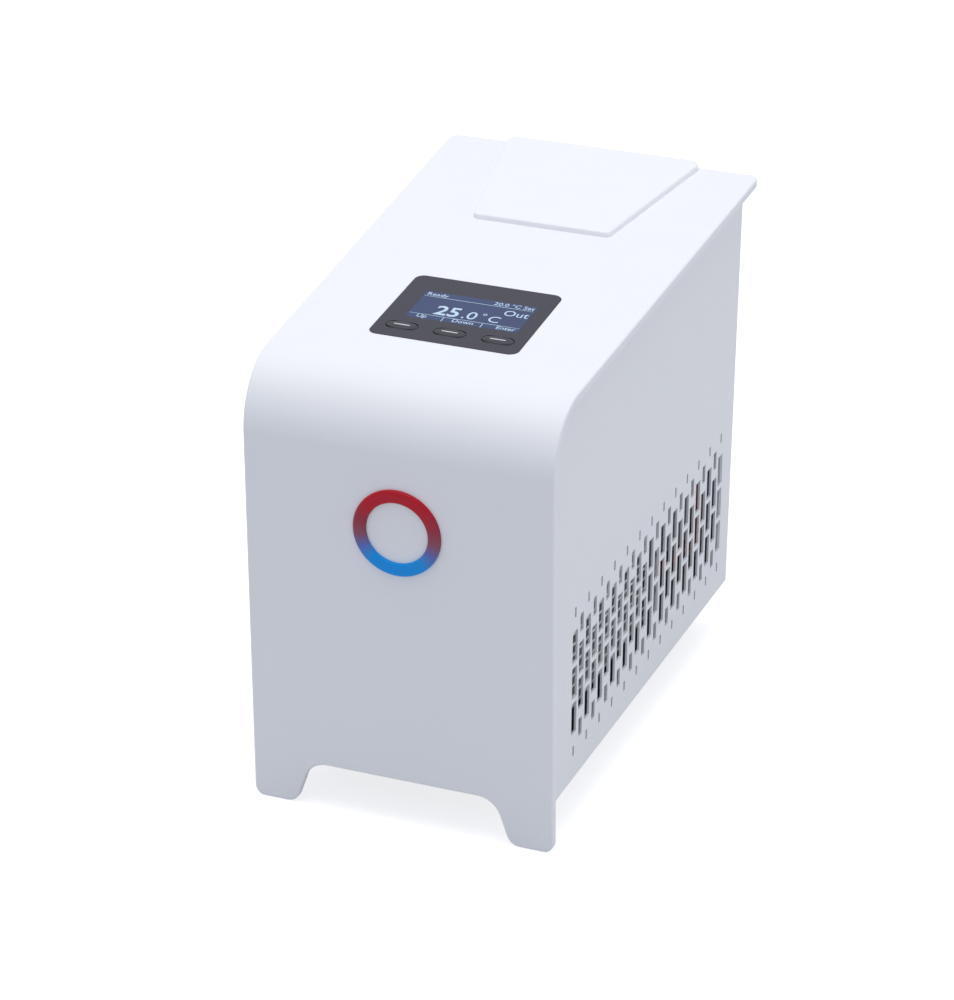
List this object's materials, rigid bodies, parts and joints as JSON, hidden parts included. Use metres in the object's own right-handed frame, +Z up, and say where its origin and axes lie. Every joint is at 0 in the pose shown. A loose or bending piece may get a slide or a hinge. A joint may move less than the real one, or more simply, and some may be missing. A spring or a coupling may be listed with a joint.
{
  "type": "laboratory circulator",
  "caption": "Compact bench circulator that heats and cools fluid, with a sloped display, a filling lid, slotted sides and hose nozzles at the rear.",
  "frame": {"origin": "on the standing surface, under the middle of the overall outline", "axes": "+X to the right as seen from the front, +Y from the front to the rear, +Z up"},
  "size_m": [0.1784, 0.3026, 0.2701],
  "materials": {
    "cover_white": "fine-grained satin",
    "panel_white": "powder coat",
    "lid_white": "satin",
    "zinc_sheet": "zinc plated",
    "rear_white": "powder coat",
    "ring_gloss": "gloss, red above to blue below",
    "bezel_dark": "satin",
    "window": "clear window over a blue picture",
    "key_dark": "satin",
    "board_green": "solder resist",
    "frame_black": "black",
    "tank_plastic": "translucent white",
    "strainer_steel": "satin",
    "float_plastic": "satin",
    "fin_metal": "mill finish",
    "block_metal": "machined",
    "ceramic": "ceramic plates",
    "fan_black": "satin",
    "pump_black": "satin",
    "motor_metal": "satin",
    "mount_rubber": "matt",
    "hose_clear": "smooth",
    "clamp_steel": "satin",
    "nozzle_brass": "nickel plated",
    "inlet_black": "gloss",
    "supply_case": "mill finish",
    "lead_red": "smooth",
    "screw_steel": "zinc plated",
    "foot_plastic": "satin"
  },
  "bodies": {
    "cabinet": {"front_top_cover": "cover_white", "side_panel_left": "panel_white", "side_panel_right": "panel_white", "base_tray": "zinc_sheet", "corner_posts": "zinc_sheet", "cover_rails": "zinc_sheet", "equipment_shelf": "zinc_sheet", "partition_plate": "zinc_sheet", "rear_panel": "rear_white", "indicator_ring": "ring_gloss", "display_bezel": "bezel_dark", "display_glass": "window", "display_board": "board_green", "display_module": "frame_black", "reservoir_body": "tank_plastic", "reservoir_top": "tank_plastic", "filler_strainer": "strainer_steel", "level_stem": "strainer_steel", "water_block": "block_metal", "thermoelectric_modules": "ceramic", "heat_sink_left": "fin_metal", "heat_sink_right": "fin_metal", "block_stands": "zinc_sheet", "clamp_bolts": "screw_steel", "fan_frame": "fan_black", "pump_mounts": "mount_rubber", "pump_bracket": "zinc_sheet", "pump_motor": "motor_metal", "pump_housing": "pump_black", "suction_hose": "hose_clear", "pressure_hose": "hose_clear", "outlet_hose": "hose_clear", "return_hose": "hose_clear", "drain_hose": "hose_clear", "hose_clamps": "clamp_steel", "outlet_nozzle": "nozzle_brass", "return_nozzle": "nozzle_brass", "drain_nozzle": "nozzle_brass", "nozzle_nuts": "nozzle_brass", "mains_inlet": "inlet_black", "mains_switch_frame": "inlet_black", "interface_socket": "motor_metal", "power_supply": "supply_case", "control_board": "board_green", "board_pillars": "clamp_steel", "pump_lead": "lead_red", "rear_feet": "foot_plastic", "foot_pads": "mount_rubber", "shelf_nuts": "screw_steel", "cabinet_screws": "screw_steel"},
    "filler_lid": {"filler_lid": "lid_white"},
    "key_left": {"key_left": "key_dark"},
    "key_middle": {"key_middle": "key_dark"},
    "key_right": {"key_right": "key_dark"},
    "level_float": {"level_float": "float_plastic"},
    "fan_rotor": {"fan_rotor": "fan_black"},
    "pump_impeller": {"pump_impeller": "float_plastic"},
    "mains_rocker": {"mains_rocker": "inlet_black"},
    "drain_cap": {"drain_cap": "pump_black"}
  },
  "joints": [
    {"name": "lid_lift", "type": "slide", "parent": "cabinet", "child": "filler_lid", "axis": [0, -0.0906, 0.9959], "range_m": [0, 0.04]},
    {"name": "key_left_press", "type": "slide", "parent": "cabinet", "child": "key_left", "axis": [0, 0.0906, -0.9959], "range_m": [0, 0.0005], "stiffness_N_per_m": 400},
    {"name": "key_middle_press", "type": "slide", "parent": "cabinet", "child": "key_middle", "axis": [0, 0.0906, -0.9959], "range_m": [0, 0.0005], "stiffness_N_per_m": 400},
    {"name": "key_right_press", "type": "slide", "parent": "cabinet", "child": "key_right", "axis": [0, 0.0906, -0.9959], "range_m": [0, 0.0005], "stiffness_N_per_m": 400},
    {"name": "float_rise", "type": "slide", "parent": "cabinet", "child": "level_float", "axis": [0, 0, 1], "range_m": [0, 0.03]},
    {"name": "fan_spin", "type": "hinge", "parent": "cabinet", "child": "fan_rotor", "pos_m": [0, 0.03324, 0.0941], "axis": [0, 1, 0], "continuous": true},
    {"name": "impeller_spin", "type": "hinge", "parent": "cabinet", "child": "pump_impeller", "pos_m": [0, 0.09154, 0.0687], "axis": [0, 0, 1], "continuous": true},
    {"name": "mains_switch", "type": "hinge", "parent": "cabinet", "child": "mains_rocker", "pos_m": [-0.04, 0.13204, 0.096], "axis": [1, 0, 0], "range_deg": [0, 24]},
    {"name": "drain_cap_pull", "type": "slide", "parent": "cabinet", "child": "drain_cap", "axis": [0, 1, 0], "range_m": [0, 0.025]}
  ]
}
